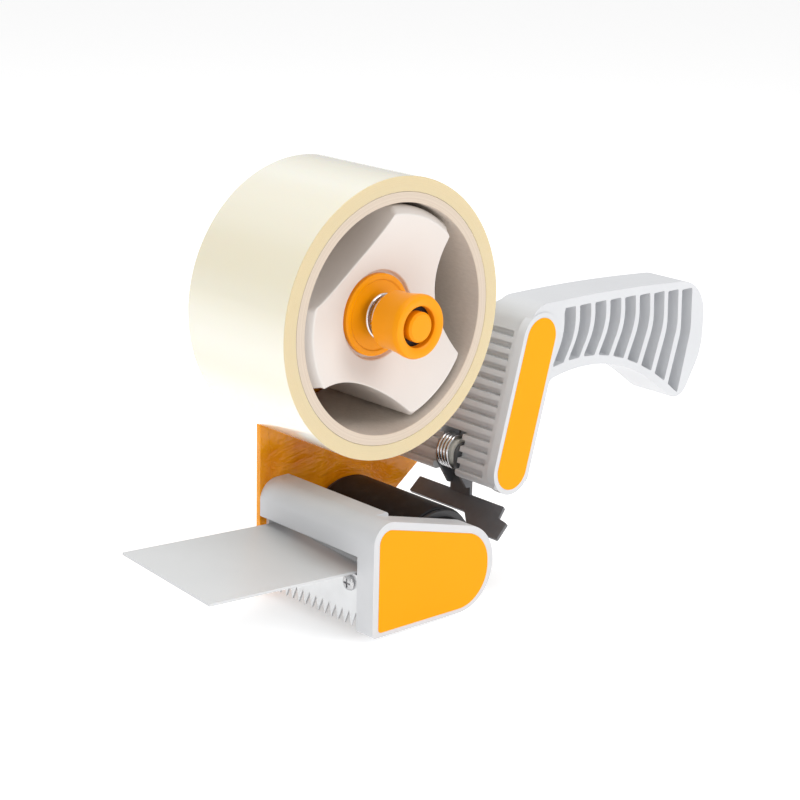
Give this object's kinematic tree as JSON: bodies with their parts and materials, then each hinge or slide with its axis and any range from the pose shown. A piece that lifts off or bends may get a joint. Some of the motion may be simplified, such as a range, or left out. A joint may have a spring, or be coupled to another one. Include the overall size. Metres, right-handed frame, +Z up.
{
  "type": "packing tape dispenser",
  "caption": "Hand-held packing tape dispenser with a grip, lobed hub with a brake knob, tape roll, front roller, toothed blade, flap and sprung tape stop.",
  "frame": {"origin": "On the spindle's axis at the middle of the tape's width.", "axes": "+Z up, +X back along the handle, -Y the open side the roll slides off, +Y the side plate."},
  "size_m": [0.2335, 0.0633, 0.153],
  "materials": {
    "body_plastic": "fine satin moulding",
    "label": "smooth printed film",
    "plate_plastic": "gloss",
    "screw_steel": "plated",
    "blade_steel": "brushed",
    "stop_steel": "dark blued",
    "spring_steel": "bright",
    "insert_steel": "blackened",
    "nylon": "dull",
    "hub_plastic": "satin",
    "core_plastic": "satin",
    "knob_plastic": "satin gloss",
    "card": "paperboard",
    "tape_film": "clear film over cream adhesive",
    "rubber": "dull",
    "flap_plastic": "smooth sheet"
  },
  "bodies": {
    "frame": {"body_moulding": "body_plastic", "riser_label": "label", "side_plate": "plate_plastic", "riser_screws": "screw_steel", "housing_screws": "screw_steel", "front_housing": "body_plastic", "cheek_label": "label", "blade": "blade_steel", "blade_screws": "screw_steel", "flap_pin": "screw_steel", "roller_axle": "screw_steel", "roller_washers": "nylon", "hinge_pin": "screw_steel", "hinge_bush": "nylon", "torsion_spring": "spring_steel", "spindle": "screw_steel", "spindle_cap": "knob_plastic", "friction_pad": "nylon", "brake_washer": "knob_plastic", "brake_spring": "spring_steel"},
    "hub": {"hub": "hub_plastic", "hub_bush": "nylon"},
    "roll": {"tape_core": "card", "tape_roll": "tape_film"},
    "roller": {"roller_sleeve": "rubber", "roller_core": "core_plastic"},
    "brake_nut": {"knob_insert": "insert_steel"},
    "knob": {"brake_knob": "knob_plastic"},
    "stop": {"stop_plate": "stop_steel"},
    "flap": {"tape_flap": "flap_plastic"}
  },
  "joints": [
    {"name": "hub_spin", "type": "hinge", "parent": "frame", "child": "hub", "pos_m": [0, 0, 0], "axis": [0, 1, 0], "continuous": true},
    {"name": "roll_change", "type": "slide", "parent": "hub", "child": "roll", "axis": [0, -1, 0], "range_m": [0, 0.075]},
    {"name": "roller_spin", "type": "hinge", "parent": "frame", "child": "roller", "pos_m": [0.0223, 0, -0.0882], "axis": [0, 1, 0], "continuous": true},
    {"name": "brake_travel", "type": "slide", "parent": "frame", "child": "brake_nut", "axis": [0, -1, 0], "range_m": [-0.0015, 0.0015], "deforming": ["brake_spring"]},
    {"name": "knob_turn", "type": "hinge", "parent": "brake_nut", "child": "knob", "pos_m": [0, 0, 0], "axis": [0, -1, 0], "range_deg": [-180, 180]},
    {"name": "stop_swing", "type": "hinge", "parent": "frame", "child": "stop", "pos_m": [0.053, 0, -0.0615], "axis": [0, 1, 0], "range_deg": [-12, 0], "stiffness_Nm_per_rad": 0.15, "springref_deg": 17.19, "deforming": ["torsion_spring"]},
    {"name": "flap_flex", "type": "hinge", "parent": "frame", "child": "flap", "pos_m": [-0.0065, 0, -0.0826], "axis": [0, 1, 0], "range_deg": [-2, 12], "stiffness_Nm_per_rad": 0.2}
  ],
  "couplings": [
    {"joint": "knob_turn", "follows": "brake_travel", "rad_per_m": 2094.4}
  ]
}
